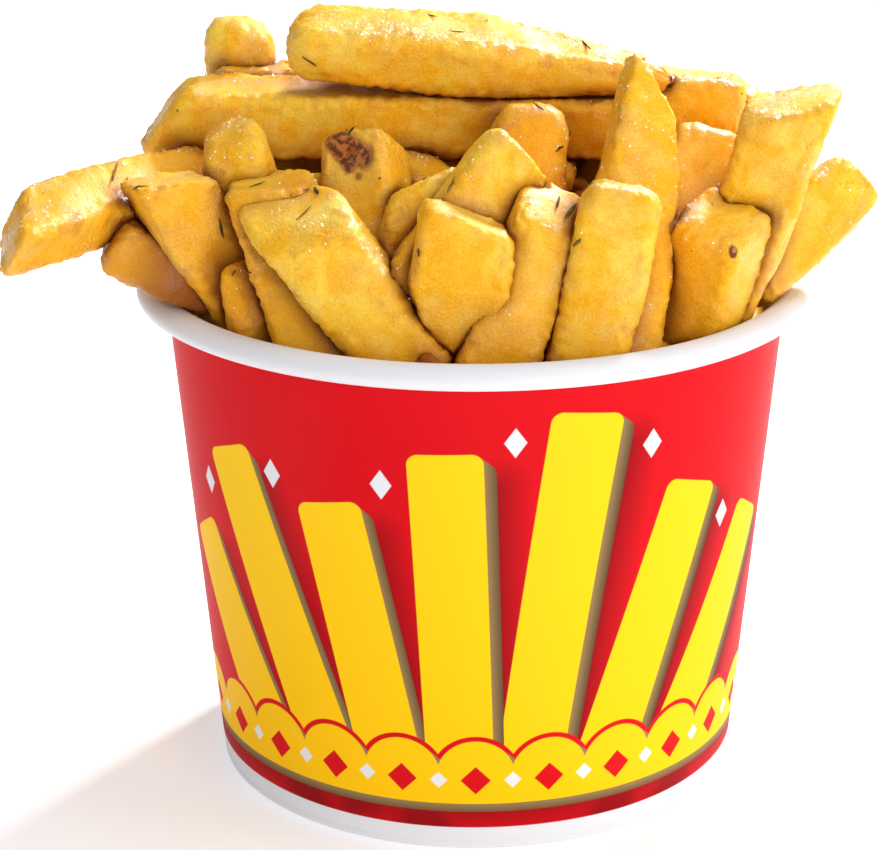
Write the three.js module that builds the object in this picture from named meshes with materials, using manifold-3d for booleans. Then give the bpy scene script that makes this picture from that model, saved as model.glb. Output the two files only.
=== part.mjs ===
// Thick-cut french fries heaped in a round paper bucket.
//
// The bucket is a tapered paperboard wall with a rolled rim and a folded foot, and a base disc set a
// little above the foot. The fries stand and lie in a heap that rises well over the rim and leans
// out past it on both sides.
//
// Millimetres, +Z up. The bucket stands on Z = 0. The origin is under the middle of the whole
// object's box, and the heap reaches further left than right, so the bucket's own axis is
// BUCKET_AXIS_X to the right of it. Every place below is measured from the bucket's axis.

import * as THREE from "three";
import { mergeVertices } from "three/addons/utils/BufferGeometryUtils.js";
import Module from "manifold-3d";

const wasm = await Module();
wasm.setup();

// Where the bucket's axis stands
const BUCKET_AXIS_X = 4.2;

// The paper bucket
const RIM_TOP = 86.7;
const RIM_RADIUS = 57.5;
const ROLL_WIDTH = 5.6;
const ROLL_HEIGHT = 4;
const BOARD = 0.5;
const FOOT_RADIUS = 45.15;
const FOLD_HEIGHT = 6.9;
const BASE_THICKNESS = 0.8;
const CLEARANCE = 0.3;
const ROUND_STEPS = 64;
const ROLL_STEPS = 12;

// The packed fries under the ones that show, as one core with a low domed top
const CORE_WALL_GAP = 0.55;
const CORE_SHOULDER_HEIGHT = 81;
const CORE_TOP_HEIGHT = 102;
const CORE_DOME_STEPS = 5;

// How a fry is cut: its long edges, and where its length has a section
const FRY_SIDES = 8;
const FRY_EDGE = 0.42;
const FRY_NOSE_INSET = 0.6;
const FRY_MIDDLE_SECTIONS = [0.36, 0.68];

// The usual fry of a row, and how far one differs from the next
const ROW_FRY = {
  wide: 13,
  wideSpread: 1.2,
  thick: 12,
  thickSpread: 1,
  nose: 3,
  noseSpread: 1.2,
  cutSpread: [3.5, 2.5],
  tipSize: 0.93,
};
const UNEVEN = { perIndex: 12.9898, perTrait: 78.233, height: 43758.5453 };

// Rows of standing fries that fill the heap behind and between the ones placed one by one. Angles
// are in degrees about the bucket's axis, and 90 is the back.
const BACK_OUTER_ROW = {
  count: 10,
  from: 6,
  to: 144,
  footRadius: 39.5,
  footHeight: 79,
  tipRadius: 50.5,
  tipHeight: 102,
  inward: 5,
  rise: 7,
  heightSpread: 5,
  seed: 4,
};
const BACK_INNER_ROW = {
  count: 6,
  from: 28,
  to: 150,
  footRadius: 25,
  footHeight: 88,
  tipRadius: 37,
  tipHeight: 106,
  inward: 4,
  rise: 5,
  heightSpread: 5,
  seed: 26,
};
const FRONT_INNER_ROW = {
  count: 6,
  from: -160,
  to: -20,
  footRadius: 20,
  footHeight: 86,
  tipRadius: 25,
  tipHeight: 99,
  sway: 25,
  seed: 3,
};
const MIDDLE_ROW = {
  count: 5,
  from: 0,
  to: 288,
  footRadius: 8,
  footHeight: 88,
  tipRadius: 12,
  tipHeight: 104,
  sway: 20,
  seed: 9,
};

// Colours and finishes
const PAPER_RED = { color: 0xd9232b, roughness: 0.38, metalness: 0 };
const PAPER_WHITE = { color: 0xf1efec, roughness: 0.6, metalness: 0 };
const POTATO_GOLD = { color: 0xeeb548, roughness: 0.5, metalness: 0 };

const ROLL_BOTTOM = RIM_TOP - ROLL_HEIGHT;
const THROAT_RADIUS = RIM_RADIUS - ROLL_WIDTH;
const BASE_BOTTOM = FOLD_HEIGHT + CLEARANCE;
const BASE_TOP = BASE_BOTTOM + BASE_THICKNESS;

// Radius of the inside of the bucket's wall at a height
function innerRadius(height) {
  const rise = Math.min(height / ROLL_BOTTOM, 1);
  return THREE.MathUtils.lerp(FOOT_RADIUS - BOARD, THROAT_RADIUS, rise);
}

// A profile of [radius, height] points turned about +Z
function turned(profile) {
  const points = profile.map(([radius, height]) => new THREE.Vector2(radius, height));
  const geometry = new THREE.LatheGeometry(points, ROUND_STEPS);
  return geometry.rotateX(Math.PI / 2);
}

// The wall's section: up the outside, round the rolled rim, down the inside and round the fold
function bucketWall() {
  const middle = THROAT_RADIUS + ROLL_WIDTH / 2;
  const tuck = Math.asin((middle - THROAT_RADIUS - BOARD) / (ROLL_WIDTH / 2));
  const profile = [[FOOT_RADIUS, 0]];
  for (let step = 0; step <= ROLL_STEPS; step++) {
    const turn = THREE.MathUtils.lerp(-Math.PI / 2 - tuck, Math.PI, step / ROLL_STEPS);
    const radius = middle + (ROLL_WIDTH / 2) * Math.cos(turn);
    const height = RIM_TOP - ROLL_HEIGHT / 2 + (ROLL_HEIGHT / 2) * Math.sin(turn);
    profile.push([radius, height]);
  }
  profile.push([innerRadius(ROLL_BOTTOM), ROLL_BOTTOM]);
  profile.push([innerRadius(FOLD_HEIGHT), FOLD_HEIGHT]);
  profile.push([innerRadius(FOLD_HEIGHT) - BOARD, FOLD_HEIGHT]);
  profile.push([innerRadius(0) - BOARD, 0]);
  profile.push([FOOT_RADIUS, 0]);
  return turned(profile);
}

// The disc that closes the bucket just above the fold
function bucketBase() {
  const radius = innerRadius(BASE_BOTTOM) - CLEARANCE;
  return turned([
    [0, BASE_BOTTOM],
    [radius, BASE_BOTTOM],
    [radius, BASE_TOP],
    [0, BASE_TOP],
  ]);
}

// The core fills the bucket from its base and ends in a dome under the heap
function heapCore() {
  const floor = BASE_TOP + CLEARANCE;
  const shoulder = innerRadius(CORE_SHOULDER_HEIGHT) - CORE_WALL_GAP;
  const profile = [
    [0, floor],
    [innerRadius(floor) - CORE_WALL_GAP, floor],
  ];
  for (let step = CORE_DOME_STEPS; step >= 0; step--) {
    const reach = step / CORE_DOME_STEPS;
    const drop = (CORE_TOP_HEIGHT - CORE_SHOULDER_HEIGHT) * reach ** 2;
    profile.push([shoulder * reach, CORE_TOP_HEIGHT - drop]);
  }
  return turned(profile);
}

// One fry, from its foot to its tip: a bar with its long edges cut off and its ends rounded over.
// turn rolls it about its own length, in degrees. footSize and tipSize scale its two ends, and nose
// is the length that each end's rounding takes. bow lifts its middle, and cut slants its tip along
// its length, across its width and across its thickness.
function fry(foot, tip, wide, thick, options = {}) {
  const { turn = 0, footSize = 0.95, tipSize = 0.95, nose = 2.5, bow = 0, cut = [0, 0] } = options;
  const start = new THREE.Vector3(...foot);
  const along = new THREE.Vector3(...tip).sub(start);
  const length = along.length();
  along.normalize();
  const across = along.clone().cross(new THREE.Vector3(0, -1, 0)).normalize();
  across.applyAxisAngle(along, THREE.MathUtils.degToRad(turn));
  const through = across.clone().cross(along);
  const place = new THREE.Matrix4().makeBasis(across, along, through).setPosition(start);

  const halfWide = wide / 2;
  const halfThick = thick / 2;
  const edge = FRY_EDGE * Math.min(halfWide, halfThick);
  const sections = [0, nose / length, ...FRY_MIDDLE_SECTIONS, 1 - nose / length, 1];
  const spans = sections.length - 1;
  const geometry = new THREE.CylinderGeometry(1, 1, 1, FRY_SIDES, spans, false, Math.PI / FRY_SIDES);
  const corners = geometry.getAttribute("position");
  const corner = new THREE.Vector3();
  for (let index = 0; index < corners.count; index++) {
    corner.fromBufferAttribute(corners, index);
    const reach = sections[Math.round((corner.y + 0.5) * spans)];
    const end = reach >= 0.5 ? tipSize : footSize;
    const size = THREE.MathUtils.lerp(1, end, Math.abs(2 * reach - 1));
    const inset = reach === 0 || reach === 1 ? FRY_NOSE_INSET * nose : 0;
    const onSide = Math.abs(corner.x) > Math.abs(corner.z);
    const sideX = onSide ? halfWide : halfWide - edge;
    const sideZ = onSide ? halfThick - edge : halfThick;
    const x = Math.sign(corner.x) * sideX * (size - inset / halfWide);
    const z = Math.sign(corner.z) * sideZ * (size - inset / halfThick);
    const slant = Math.max(0, 2 * reach - 1) * ((cut[0] * x) / halfWide + (cut[1] * z) / halfThick);
    corner.set(x, reach * length + slant, z).applyMatrix4(place);
    corner.z += bow * 4 * reach * (1 - reach);
    corners.setXYZ(index, corner.x, corner.y, corner.z);
  }
  return geometry;
}

// A repeatable unevenness from -1 to 1 for one trait of one fry in a row: the fraction that is left
// of a very tall sine
function uneven(index, trait) {
  const wave = UNEVEN.height * Math.sin(UNEVEN.perIndex * index + UNEVEN.perTrait * trait);
  return 2 * (wave - Math.floor(wave)) - 1;
}

// A row of standing fries round part of the bucket, each leaning its own way. The tips lie up to
// inward closer to the axis than tipRadius, and rise is how much higher the row gets at the back.
function standingRow(row) {
  const { count, from, to, footRadius, footHeight, tipRadius, tipHeight, seed } = row;
  const { inward = 0, rise = 0, sway = 9, heightSpread = 4 } = row;
  return Array.from({ length: count }, (_, index) => {
    const angle = THREE.MathUtils.degToRad(THREE.MathUtils.lerp(from, to, index / (count - 1)));
    const lean = angle + THREE.MathUtils.degToRad(sway) * uneven(index, seed);
    const top = tipHeight + rise * Math.sin(angle) + heightSpread * uneven(index, seed + 1);
    const reach = tipRadius - (inward / 2) * (1 + uneven(index, seed + 7));
    const foot = [footRadius * Math.cos(angle), footRadius * Math.sin(angle), footHeight];
    const tip = [reach * Math.cos(lean), reach * Math.sin(lean), top];
    const wide = ROW_FRY.wide + ROW_FRY.wideSpread * uneven(index, seed + 2);
    const thick = ROW_FRY.thick + ROW_FRY.thickSpread * uneven(index, seed + 3);
    const nose = ROW_FRY.nose + ROW_FRY.noseSpread * uneven(index, seed + 4);
    const cut = ROW_FRY.cutSpread.map((spread, side) => spread * uneven(index, seed + 5 + side));
    const turn = THREE.MathUtils.radToDeg(angle) - 90;
    return fry(foot, tip, wide, thick, { turn, nose, cut, tipSize: ROW_FRY.tipSize });
  });
}

// The fries that show, from the top of the heap down, as foot, tip, width and thickness
const heapFries = [
  // Lying across the top
  fry([33, 3, 118], [-31, 2, 125], 11.3, 13.5, {
    turn: -20,
    footSize: 0.38,
    tipSize: 0.8,
    nose: 5,
    bow: 0.6,
  }),
  fry([29, 4, 111], [-53, 4, 112], 11, 12.5, { turn: -8, tipSize: 1, nose: 3, cut: [-4, 0] }),
  fry([-10, 15, 112], [-45, 15, 115], 9, 11, { nose: 3 }),
  fry([-21, 17, 102], [-54.5, 6.5, 108.5], 8, 11, { nose: 2, cut: [-2, 0] }),
  fry([6, 8, 116], [45, 8, 113], 9.5, 12, { nose: 2 }),
  fry([12, 20, 116.5], [48.5, 16, 110.5], 7, 12, { nose: 2 }),
  fry([30, 26, 112], [-27, 24, 117], 12, 12, { turn: 10, nose: 3, bow: 1 }),
  // Leaning out to the left
  fry([-39, 5, 101.5], [-72, -36.5, 102], 8.5, 12, {
    turn: -28,
    footSize: 1,
    tipSize: 1,
    nose: 2,
    bow: 1,
    cut: [-1, 5],
  }),
  fry([-37, -21, 87.8], [-58.5, -24, 98], 10, 10.5, { nose: 3 }),
  fry([-34.6, -19.7, 79], [-49.5, -25, 108], 12.5, 11, { turn: 28, nose: 2, cut: [-3, 0] }),
  fry([-29.5, -24, 82], [-40, -14, 113], 11, 10, { nose: 4, cut: [0, -4] }),
  fry([-38, 16, 88], [-41, 18, 126], 12, 11, { nose: 6, cut: [-1, 0] }),
  fry([-39, 7, 80], [-50, 12, 98], 12, 11, { turn: 70, nose: 3 }),
  fry([-40, -4, 80], [-46, -1, 93], 11, 11, { nose: 3 }),
  // Standing along the front
  fry([-32.5, -27.6, 79], [-34.3, -31.4, 93], 12, 8.5, { turn: 20, nose: 3, cut: [0, -4] }),
  fry([-22, -38, 79], [-33, -24, 107.5], 14, 11, { nose: 2, cut: [-2, -3] }),
  fry([-7, -42, 79], [-28.5, -35, 105], 14, 13, { tipSize: 1.05, nose: 2.5, cut: [-4, -5] }),
  fry([-16, -31, 82], [-18, -12, 110.5], 13, 10.5, { turn: -25, nose: 2.5, cut: [-0.4, 1.8] }),
  fry([-14, -34, 78], [-7, -24, 108], 12, 10, { nose: 3, cut: [4, 0] }),
  fry([-14, -40, 87], [7, -26, 112], 13, 10, { nose: 2, cut: [-1, 0] }),
  fry([-4, -42, 84], [-1, -40, 106], 15.5, 11, { footSize: 0.5, nose: 3, cut: [-2, 0] }),
  fry([6, -22, 86], [9.3, -8, 116], 12.5, 12, { nose: 5 }),
  fry([1, -43, 79], [13, -35, 106], 13, 12, { nose: 2, cut: [0, -4] }),
  fry([16, -41, 80], [23, -37, 110], 13.5, 12, { tipSize: 0.85, nose: 4 }),
  fry([22, -36, 81], [28, -16, 121], 13.5, 10, { turn: 10, tipSize: 0.66, nose: 1.5, cut: [-8, 0] }),
  fry([32, -27, 85], [38, -4, 110], 12, 11, { nose: 3 }),
  fry([33, -26, 80], [39, -29, 103], 14, 12, { turn: -33, nose: 3, cut: [0, -3] }),
  // Leaning out to the right
  fry([38, -24.5, 80], [50.5, -21, 120], 12.6, 9, {
    turn: -10,
    footSize: 0.6,
    tipSize: 1.05,
    nose: 1.5,
    cut: [3, -2],
  }),
  fry([43, -18, 88.3], [63, -6, 103.7], 11, 11, { turn: -10, nose: 3 }),
  fry([38, -6, 82], [46, -6, 97], 11, 11, { nose: 3 }),
  // Short ends between them
  fry([0, -16, 84], [-4, -9, 104], 12, 12, { nose: 3 }),
  fry([22, -6, 84], [21, -4, 101], 12, 12, { nose: 3 }),
  fry([-28, -10, 86], [-29, -6, 104], 12, 12, { nose: 3 }),
  // Lying and leaning across the back
  fry([38, 24, 98], [6, 41, 111], 12, 12, { turn: 30, nose: 3 }),
  fry([-6, 38, 99], [-40, 27, 110], 11.5, 12, { turn: -20, nose: 3, cut: [3, 0] }),
  fry([-47, 24, 97], [-20, 47, 104], 12, 11, { turn: 20, nose: 3 }),
  fry([52, 10, 100], [40, 36, 104], 11.5, 12, { turn: -10, nose: 3, cut: [0, 3] }),
  fry([8, 14, 104], [24, 38, 111], 11.5, 11, { nose: 3, cut: [2, 2] }),
  ...standingRow(BACK_OUTER_ROW),
  ...standingRow(BACK_INNER_ROW),
  ...standingRow(FRONT_INNER_ROW),
  ...standingRow(MIDDLE_ROW),
];

// A closed geometry as a solid that can be joined
function solidOf(geometry) {
  const shell = geometry.clone();
  shell.deleteAttribute("normal");
  shell.deleteAttribute("uv");
  const merged = mergeVertices(shell);
  const vertProperties = merged.getAttribute("position").array;
  const triVerts = new Uint32Array(merged.index.array);
  return new wasm.Manifold(new wasm.Mesh({ numProp: 3, vertProperties, triVerts }));
}

function geometryOf(solid) {
  const { vertProperties, triVerts } = solid.getMesh();
  const geometry = new THREE.BufferGeometry();
  geometry.setAttribute("position", new THREE.BufferAttribute(vertProperties, 3));
  geometry.setIndex(new THREE.BufferAttribute(triVerts, 1));
  geometry.computeVertexNormals();
  return geometry;
}

// Core and fries joined into one body. Joining can leave a loose scrap or a sealed pocket, and only
// the main body is kept.
function heap() {
  const joined = heapFries.map(solidOf).reduce((whole, piece) => whole.add(piece), solidOf(heapCore()));
  const bodies = joined.decompose();
  const main = bodies.reduce((best, body) => (body.volume() > best.volume() ? body : best));
  return geometryOf(main);
}

function named(name, geometry, finish) {
  const mesh = new THREE.Mesh(geometry, new THREE.MeshStandardMaterial(finish));
  mesh.name = name;
  return mesh;
}

const bucket = new THREE.Group();
bucket.add(named("bucket_wall", bucketWall(), PAPER_RED));
bucket.add(named("bucket_base", bucketBase(), PAPER_WHITE));

const bucketOfFries = new THREE.Group();
bucketOfFries.add(bucket);
bucketOfFries.add(named("fries", heap(), POTATO_GOLD));
bucketOfFries.position.x = BUCKET_AXIS_X;

const part = new THREE.Group();
part.add(bucketOfFries);

export default part;
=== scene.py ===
# A round paper bucket of thick-cut fries: glossy red board with a rolled white rim, filled to a
# heap. The script follows the bucket as it is made and filled: wall and print, base, the packed
# fries, the fries that show, and what is sprinkled over them. Metres, +Z up.

import math

import bmesh
import bpy
import numpy as np
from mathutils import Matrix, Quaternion, Vector
from mathutils.bvhtree import BVHTree


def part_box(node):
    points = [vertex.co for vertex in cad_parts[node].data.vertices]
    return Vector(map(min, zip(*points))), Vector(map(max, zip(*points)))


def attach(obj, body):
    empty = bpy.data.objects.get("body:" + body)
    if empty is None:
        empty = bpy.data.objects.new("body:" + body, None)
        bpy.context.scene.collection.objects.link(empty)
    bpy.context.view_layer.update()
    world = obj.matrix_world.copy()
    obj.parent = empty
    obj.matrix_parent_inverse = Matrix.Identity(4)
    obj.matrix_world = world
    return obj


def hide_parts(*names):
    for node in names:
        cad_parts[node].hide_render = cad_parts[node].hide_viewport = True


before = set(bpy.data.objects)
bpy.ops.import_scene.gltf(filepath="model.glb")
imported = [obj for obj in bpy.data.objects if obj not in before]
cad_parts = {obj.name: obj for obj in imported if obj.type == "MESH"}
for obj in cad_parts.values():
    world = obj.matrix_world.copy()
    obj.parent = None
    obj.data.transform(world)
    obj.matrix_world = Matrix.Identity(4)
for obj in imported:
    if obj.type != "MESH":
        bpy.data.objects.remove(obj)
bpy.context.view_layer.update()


# ---------------------------------------------------------------------------------------------
# Camera
# A long lens looks down a little on the heap, from the height at which it is eaten. The bucket
# stands just right of the middle of the picture, by a shift of the lens.
# ---------------------------------------------------------------------------------------------

MM = 0.001
rim_low, rim_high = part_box("bucket_wall")
bucket_axis = Vector(((rim_low.x + rim_high.x) / 2, (rim_low.y + rim_high.y) / 2, 0))

look_height = 58.2 * MM
camera_distance = 449 * MM
camera_elevation = math.radians(19.02)
lens_mm = 105.7
film_mm = 36
picture_px = (880, 850)
bucket_right_of_middle_px = 35.7

camera_data = bpy.data.cameras.new("camera")
camera_data.lens = lens_mm
camera_data.sensor_width = film_mm
camera_data.sensor_fit = "HORIZONTAL"
camera_data.shift_x = -bucket_right_of_middle_px / picture_px[0]
camera = bpy.data.objects.new("camera", camera_data)
camera.location = bucket_axis + Vector((
    0,
    -camera_distance * math.cos(camera_elevation),
    look_height + camera_distance * math.sin(camera_elevation),
))
camera.rotation_euler = (math.pi / 2 - camera_elevation, 0, 0)
bpy.context.scene.collection.objects.link(camera)
bpy.context.scene.camera = camera


# ---------------------------------------------------------------------------------------------
# Table and light
# A plain white table top under soft boxes: a large one overhead, a wide one in front, one at the
# right, and a small bright one behind on the right, which makes the oily tops glisten.
# ---------------------------------------------------------------------------------------------

def add_node(tree, kind, inputs=None, **settings):
    """One node of a tree, with its settings and with a value or a link for each input named."""
    made = tree.nodes.new(kind)
    for name, value in settings.items():
        setattr(made, name, value)
    for name, value in (inputs or {}).items():
        if isinstance(value, bpy.types.NodeSocket):
            tree.links.new(value, made.inputs[name])
        else:
            made.inputs[name].default_value = value
    return made


def new_material(name):
    """A material with its tree and its Principled shader."""
    material = bpy.data.materials.new(name)
    material.use_nodes = True
    tree = material.node_tree
    return material, tree, tree.nodes["Principled BSDF"]


def srgb(red, green, blue):
    """A colour of 0 to 255 as the linear values that a shader takes."""
    linear = [((value / 255 + 0.055) / 1.055) ** 2.4 for value in (red, green, blue)]
    return (*linear, 1)


table_half = 3.0
table_mesh = bpy.data.meshes.new("table")
table_mesh.from_pydata(
    [(x * table_half, y * table_half, 0) for x, y in ((-1, -1), (1, -1), (1, 1), (-1, 1))],
    [],
    [(0, 1, 2, 3)],
)
table = bpy.data.objects.new("table", table_mesh)
bpy.context.scene.collection.objects.link(table)
table_white, _, table_shader = new_material("table_white")
table_shader.inputs["Base Color"].default_value = srgb(238, 238, 240)
table_shader.inputs["Roughness"].default_value = 0.8
table_shader.inputs["Emission Color"].default_value = (1, 1, 1, 1)
table_shader.inputs["Emission Strength"].default_value = 0.32
table_shader.inputs["Specular IOR Level"].default_value = 0.1
table_mesh.materials.append(table_white)


def soft_box(name, place, size, watts, colour=(1, 1, 1)):
    """A rectangular area light of a width and height at a place, turned to the heap."""
    light = bpy.data.lights.new(name, "AREA")
    light.shape = "RECTANGLE"
    light.size, light.size_y = size
    light.energy = watts
    light.color = colour
    lamp = bpy.data.objects.new(name, light)
    lamp.location = place
    heap_middle = Vector((0, 0, 0.08))
    lamp.rotation_euler = (heap_middle - Vector(place)).to_track_quat("-Z", "Y").to_euler()
    bpy.context.scene.collection.objects.link(lamp)


warm_white = (1, 0.98, 0.95)
soft_box("overhead_box", place=(0.35, 0.05, 1.0), size=(0.8, 0.7), watts=4.0)
soft_box("glisten_box", place=(0.28, 0.52, 0.5), size=(0.12, 0.12), watts=8.0, colour=warm_white)
soft_box("front_box", place=(0.6, -1.02, 0.42), size=(0.8, 0.7), watts=6.5)
soft_box("right_box", place=(0.75, -0.1, 0.35), size=(0.4, 0.6), watts=0.6)

world = bpy.data.worlds.new("studio")
world.use_nodes = True
world.node_tree.nodes["Background"].inputs["Color"].default_value = srgb(248, 247, 250)
world.node_tree.nodes["Background"].inputs["Strength"].default_value = 0.45
bpy.context.scene.world = world
bpy.context.scene.view_settings.view_transform = "Standard"
bpy.context.scene.cycles.use_denoising = True
bpy.context.scene.cycles.sample_clamp_indirect = 4


# ---------------------------------------------------------------------------------------------
# Bucket wall
# One blank of white board with a glossy print, wrapped round and lapped at the back. Its top
# edge is rolled outwards into the rim, and its foot is folded up inside round the base.
# ---------------------------------------------------------------------------------------------

rim_top = rim_high.z
rim_radius = 57.5 * MM
roll_width = 5.6 * MM
roll_height = 4 * MM
board = 0.5 * MM
foot_radius = 45.15 * MM
fold_height = 6.9 * MM
roll_bottom = rim_top - roll_height
throat_radius = rim_radius - roll_width
wall_columns = 288
lap_width = 9 * MM
lap_slope = 2.5 * MM
lap_lift = 0.42 * MM
lap_lift_on_rim = 0.35
cut_edge_turn = 0.0002
crease_height = 1.5 * MM
crease_half = 0.6 * MM
crease_depth = 0.12 * MM
rim_wave = 0.1 * MM
# Height of each wave of the wall, how many go round, and where they start
wall_waves = ((0.06 * MM, 3, 0.7), (0.04 * MM, 7, 2.1))
print_radius = (foot_radius + throat_radius) / 2
unprinted = -10


def wall_radius(height):
    """Radius of the outside of the wall at a height."""
    return foot_radius + (throat_radius + board - foot_radius) * min(height / roll_bottom, 1)


def wall_profile():
    """The wall's section, as radii, heights and the outside's print heights, from the foot up."""
    points = []
    for height in (0.0, 0.1, 0.25, 0.45):
        tuck = 0.3 * (1 - height / 0.45) ** 2
        points.append((wall_radius(height * MM) - tuck * MM, height * MM, True))
    for height in np.linspace(crease_height - crease_half, crease_height + crease_half, 7):
        crease = crease_depth * math.cos((height - crease_height) / crease_half * math.pi / 2) ** 2
        points.append((wall_radius(height) - crease, height, True))
    for height in np.linspace(2.6 * MM, roll_bottom, 40):
        points.append((wall_radius(height), height, True))
    roll_middle = throat_radius + roll_width / 2
    tuck_turn = math.asin(1 - 2 * board / roll_width)
    for turn in np.linspace(-math.pi / 2 - tuck_turn, math.pi, 44):
        radius = roll_middle + roll_width / 2 * math.cos(turn)
        points.append((radius, rim_top - roll_height / 2 * (1 - math.sin(turn)), False))
    for height in np.linspace(roll_bottom - 0.5 * MM, fold_height + 0.3 * MM, 24):
        points.append((wall_radius(height) - board, height, False))
    inner = wall_radius(fold_height) - board
    points.append((inner, fold_height, False))
    points.append((inner - 0.7 * board, fold_height, False))
    points.append((inner - board, fold_height - 0.2 * MM, False))
    points.append((wall_radius(0) - 2 * board, 0.3 * MM, False))
    points.append((wall_radius(0) - 1.5 * board, 0.0, False))
    return points


def lap_at(arc):
    """How far the lapped board stands out, at an arc past the lap's cut edge."""
    return lap_lift * min(1, max(0, (lap_width + lap_slope - arc) / lap_slope))


def make_bucket_wall():
    """The wall as one closed shell, with the print's arc and height in millimetres as its UV."""
    profile = wall_profile()
    rows = len(profile)
    seam = math.pi / 2
    turns = [seam + 2 * math.pi * column / wall_columns for column in range(wall_columns)]
    turns.insert(1, seam + cut_edge_turn)
    points = []
    for column, turn in enumerate(turns):
        lift = lap_at((turn - seam) * foot_radius) if column else 0
        wave = sum(height * math.sin(count * turn + start) for height, count, start in wall_waves)
        for radius, height, outside in profile:
            on_roll = height > roll_bottom
            thrown = lap_lift_on_rim * lift if on_roll else lift * outside
            reach = radius + wave + thrown
            rise = rim_wave * math.sin(2 * turn + 1.3) if on_roll else 0
            points.append((
                bucket_axis.x + reach * math.cos(turn),
                bucket_axis.y + reach * math.sin(turn),
                min(height + rise, rim_top),
            ))
    faces = []
    prints = []
    for column, turn in enumerate(turns):
        after = (column + 1) % len(turns)
        arcs = [(turn - seam) * print_radius / MM]
        arcs.append(((turns[after] if after else turns[0] + 2 * math.pi) - seam) * print_radius / MM)
        for row in range(rows):
            above = (row + 1) % rows
            faces.append((
                column * rows + row,
                after * rows + row,
                after * rows + above,
                column * rows + above,
            ))
            printed = profile[row][2] and profile[above][2] and column > 0
            low, high = (profile[row][1] / MM, profile[above][1] / MM) if printed else (unprinted,) * 2
            prints += [arcs[0], low, arcs[1], low, arcs[1], high, arcs[0], high]
    mesh = bpy.data.meshes.new("paper_wall")
    mesh.from_pydata(points, [], faces)
    mesh.uv_layers.new(name="print").data.foreach_set("uv", np.array(prints, np.float32))
    mesh.shade_smooth()
    mesh.set_sharp_from_angle(angle=math.radians(50))
    return mesh


def calc(tree, operation, first, second=0.0, third=0.0, clamp=False):
    """The result of one maths node, in a shader or a geometry tree."""
    inputs = {0: first, 1: second, 2: third}
    return add_node(tree, "ShaderNodeMath", inputs, operation=operation, use_clamp=clamp).outputs[0]


def vector_calc(tree, operation, first, second=(0, 0, 0)):
    """The result of one vector maths node: a value for a length, and otherwise a vector."""
    made = add_node(tree, "ShaderNodeVectorMath", {0: first, 1: second}, operation=operation)
    return made.outputs["Value" if operation == "LENGTH" else "Vector"]


def split(tree, vector):
    """The three parts of a vector."""
    return add_node(tree, "ShaderNodeSeparateXYZ", {0: vector}).outputs


def scaled(tree, vector, factor):
    """A vector times a value."""
    inputs = {0: vector, "Scale": factor}
    return add_node(tree, "ShaderNodeVectorMath", inputs, operation="SCALE").outputs[0]


def noise(tree, scale, detail, **others):
    """The value of a noise texture of a scale, in lumps to the metre."""
    inputs = {"Scale": scale, "Detail": detail, **others}
    return add_node(tree, "ShaderNodeTexNoise", inputs).outputs[0]


def mix_colours(tree, share, first, second):
    """The first colour where the share is 0, and the second where it is 1."""
    made = add_node(tree, "ShaderNodeMix", {0: share, 6: first, 7: second}, data_type="RGBA")
    return made.outputs[2]


def add_relief(tree, shader, height, strength, depth, socket="Normal"):
    """Bumps a shader's surface by a height, with the bump's strength and its depth in metres."""
    inputs = {"Height": height, "Strength": strength, "Distance": depth}
    bump = add_node(tree, "ShaderNodeBump", inputs)
    tree.links.new(bump.outputs["Normal"], shader.inputs[socket])


def new_tree(name, kind, inputs, outputs):
    """A node group, its inputs and its outputs, given as names with a socket kind or a value."""
    kinds = {float: "NodeSocketFloat", tuple: "NodeSocketVector"}
    tree = bpy.data.node_groups.new(name, kind)
    for direction, sockets in (("INPUT", inputs), ("OUTPUT", outputs)):
        for socket_name, value in sockets.items():
            socket_kind = value if isinstance(value, str) else kinds[type(value)]
            socket = tree.interface.new_socket(socket_name, in_out=direction, socket_type=socket_kind)
            if not isinstance(value, str):
                socket.default_value = value
    return tree, tree.nodes.new("NodeGroupInput").outputs, tree.nodes.new("NodeGroupOutput").inputs


def stick_distance_group():
    """How far a place on the print lies outside a stick with round corners, or inside as less than 0."""
    tree, given, result = new_tree(
        "stick_distance",
        "ShaderNodeTree",
        {"Position": (0.0, 0.0, 0.0), "Centre": (0.0, 0.0, 0.0), "Turn": 0.0,
         "Half Size": (5.0, 25.0, 100.0), "Corner": 2.0},
        {"Distance": 0.0},
    )
    turned = add_node(
        tree,
        "ShaderNodeVectorRotate",
        {"Vector": given["Position"], "Center": given["Centre"], "Angle": given["Turn"]},
        rotation_type="Z_AXIS",
    ).outputs[0]
    away = vector_calc(tree, "ABSOLUTE", vector_calc(tree, "SUBTRACT", turned, given["Centre"]))
    core = vector_calc(tree, "SUBTRACT", given["Half Size"], given["Corner"])
    past = vector_calc(tree, "SUBTRACT", away, core)
    outside = vector_calc(tree, "LENGTH", vector_calc(tree, "MAXIMUM", past))
    parts = split(tree, past)
    inside = calc(tree, "MINIMUM", calc(tree, "MAXIMUM", parts[0], parts[1]), 0.0)
    distance = calc(tree, "SUBTRACT", calc(tree, "ADD", outside, inside), given["Corner"])
    tree.links.new(distance, result["Distance"])
    return tree


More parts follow.
